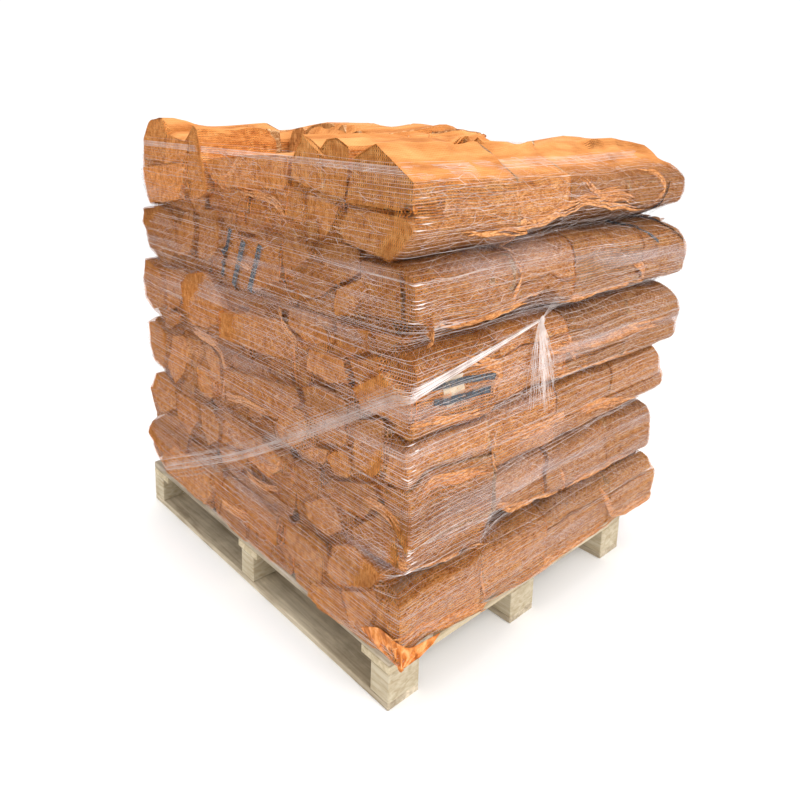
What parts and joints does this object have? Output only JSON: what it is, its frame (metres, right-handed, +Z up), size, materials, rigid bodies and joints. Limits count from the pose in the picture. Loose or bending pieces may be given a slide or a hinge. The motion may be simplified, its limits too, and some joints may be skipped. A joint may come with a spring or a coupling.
{
  "type": "pallet load of netted split ash firewood",
  "caption": "Split ash logs in orange net sacks, stacked in layers on a softwood block pallet and wrapped in stretched white pallet net.",
  "frame": {"origin": "middle of the load's bounding box at the pallet's underside", "axes": "+X along the logs, -X the end that shows their cut ends, -Y the front that shows their sides, +Z up"},
  "size_m": [1.1679, 1.2919, 1.3228],
  "materials": {
    "ash_log": "rough split ash seen through orange knitted net",
    "orange_net": "knitted polypropylene tape net, slight sheen",
    "print_blue": "dark blue plain printed bands on the net's tapes",
    "paper_label": "plain pale slip behind the net, with nothing printed",
    "white_net": "thin translucent knitted polyethylene net, stretched tight",
    "fresh_softwood": "sawn pale softwood block, rough end grain",
    "weathered_softwood": "sawn softwood board, greyed and stained"
  },
  "bodies": {
    "root": {"skid_near": "weathered_softwood", "skid_middle": "weathered_softwood", "skid_far": "weathered_softwood", "block_near_front": "fresh_softwood", "block_near_middle": "fresh_softwood", "block_near_back": "fresh_softwood", "block_middle_front": "fresh_softwood", "block_middle_middle": "fresh_softwood", "block_middle_back": "fresh_softwood", "block_far_front": "fresh_softwood", "block_far_middle": "fresh_softwood", "block_far_back": "fresh_softwood", "stringer_front": "weathered_softwood", "stringer_middle": "weathered_softwood", "stringer_back": "weathered_softwood", "deck_board_1": "weathered_softwood", "deck_board_2": "weathered_softwood", "deck_board_3": "weathered_softwood", "deck_board_4": "weathered_softwood", "deck_board_5": "weathered_softwood", "sack_1_front_near": "ash_log", "sack_1_front_far": "ash_log", "sack_1_middle_near": "ash_log", "sack_1_middle_far": "ash_log", "sack_1_back_near": "ash_log", "sack_1_back_far": "ash_log", "sack_2_front_near": "ash_log", "sack_2_front_far": "ash_log", "sack_2_middle_near": "ash_log", "sack_2_middle_far": "ash_log", "sack_2_back_near": "ash_log", "sack_2_back_far": "ash_log", "sack_3_front_near": "ash_log", "sack_3_front_far": "ash_log", "sack_3_middle_near": "ash_log", "sack_3_middle_far": "ash_log", "sack_3_back_near": "ash_log", "sack_3_back_far": "ash_log", "sack_4_front_near": "ash_log", "sack_4_front_far": "ash_log", "sack_4_middle_near": "ash_log", "sack_4_middle_far": "ash_log", "sack_4_back_near": "ash_log", "sack_4_back_far": "ash_log", "sack_5_front_near": "ash_log", "sack_5_front_far": "ash_log", "sack_5_middle_near": "ash_log", "sack_5_middle_far": "ash_log", "sack_5_back_near": "ash_log", "sack_5_back_far": "ash_log", "sack_6_front_near": "ash_log", "sack_6_front_far": "ash_log", "sack_6_middle_near": "ash_log", "sack_6_middle_far": "ash_log", "sack_6_back_near": "ash_log", "sack_6_back_far": "ash_log", "pallet_net": "white_net", "net_gathered_band": "white_net", "net_knot_and_tail": "white_net"}
  },
  "joints": []
}
